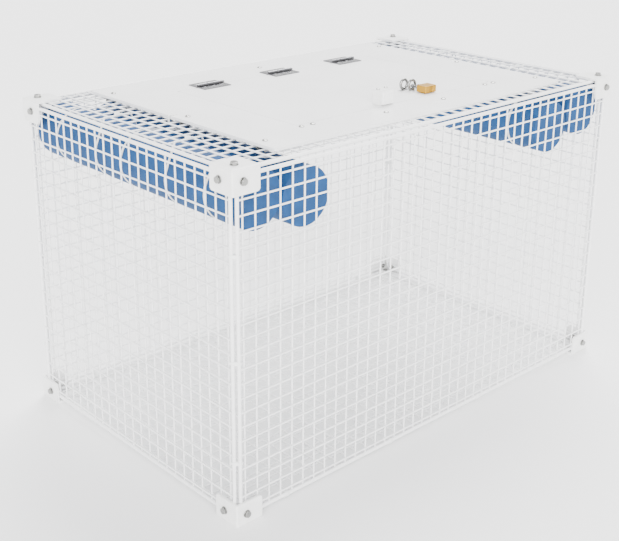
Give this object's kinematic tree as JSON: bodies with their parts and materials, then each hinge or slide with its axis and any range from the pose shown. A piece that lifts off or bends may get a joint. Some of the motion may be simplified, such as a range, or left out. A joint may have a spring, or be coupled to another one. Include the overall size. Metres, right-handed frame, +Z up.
{
  "type": "floating holding pen",
  "caption": "Welded mesh pen with foam floats under its roof, corner caps, a hinged plastic lid, a lock bracket with eyes and a padlock.",
  "frame": {"origin": "centre of the pen's underside, on the surface it stands on", "axes": "+X along the long side, +Y towards the hinge side, +Z up"},
  "size_m": [1.0018, 0.6208, 0.6406],
  "materials": {
    "coated_wire": "white plastic-coated welded steel wire, satin",
    "cap_plastic": "white moulded plastic, satin",
    "sheet_plastic": "white plastic sheet, smooth satin",
    "handle_plastic": "white plastic block, machined",
    "tie_nylon": "natural white nylon cable tie",
    "stainless": "plain stainless steel hardware",
    "hinge_steel": "polished stainless steel",
    "chrome": "polished hardened steel",
    "brass": "satin machined brass",
    "float_foam": "blue closed-cell foam, matt skin"
  },
  "bodies": {
    "cage": {"front_panel": "coated_wire", "back_panel": "coated_wire", "left_panel": "coated_wire", "right_panel": "coated_wire", "floor_panel": "coated_wire", "top_panel": "coated_wire", "corner_cap_top_front_left": "cap_plastic", "corner_cap_top_front_right": "cap_plastic", "corner_cap_top_back_left": "cap_plastic", "corner_cap_top_back_right": "cap_plastic", "corner_cap_bottom_front_left": "cap_plastic", "corner_cap_bottom_front_right": "cap_plastic", "corner_cap_bottom_back_left": "cap_plastic", "corner_cap_bottom_back_right": "cap_plastic", "cap_bolts": "stainless", "cap_washers": "stainless", "cap_nuts": "stainless", "cap_floor_bolts": "stainless", "sheet_bolts": "stainless", "sheet_clamp_washers": "stainless", "sheet_nuts": "stainless", "hatch_clamp_plates": "stainless", "sheet_hinge_screws": "stainless", "fixed_eye": "stainless", "fixed_eye_nut": "stainless", "lock_bracket": "stainless", "hinge_left_fixed_leaf": "hinge_steel", "hinge_left_pin": "hinge_steel", "hinge_middle_fixed_leaf": "hinge_steel", "hinge_middle_pin": "hinge_steel", "hinge_right_fixed_leaf": "hinge_steel", "hinge_right_pin": "hinge_steel", "top_sheet": "sheet_plastic", "float_left_outer": "float_foam", "float_left_inner": "float_foam", "float_right_inner": "float_foam", "float_right_outer": "float_foam", "float_top_ties": "tie_nylon", "float_pair_ties": "tie_nylon", "vertical_edge_ties": "tie_nylon", "bottom_edge_ties": "tie_nylon", "sheet_ties": "tie_nylon"},
    "lid": {"lid": "sheet_plastic", "hinge_left_moving_leaf": "hinge_steel", "hinge_middle_moving_leaf": "hinge_steel", "hinge_right_moving_leaf": "hinge_steel", "lid_hinge_screws": "stainless", "handle_block": "handle_plastic", "handle_screws": "stainless", "lid_eye": "stainless", "lid_eye_nut": "stainless"},
    "shackle": {"padlock_shackle": "chrome"},
    "case": {"padlock_case": "brass"},
    "plug": {"key_plug": "brass"}
  },
  "joints": [
    {"name": "lid_hinge", "type": "hinge", "parent": "cage", "child": "lid", "pos_m": [0, 0.15315, 0.6141], "axis": [-1, 0, 0], "range_deg": [0, 180]},
    {"name": "padlock_swing", "type": "hinge", "parent": "lid", "child": "shackle", "pos_m": [0.0942, -0.13, 0.6184], "axis": [0, 0, 1], "range_deg": [-12, 12]},
    {"name": "padlock_release", "type": "slide", "parent": "shackle", "child": "case", "axis": [0, -1, 0], "range_m": [0, 0.012]},
    {"name": "key_turn", "type": "hinge", "parent": "case", "child": "plug", "pos_m": [0.0942, -0.17, 0.6184], "axis": [0, -1, 0], "range_deg": [0, 90]}
  ]
}
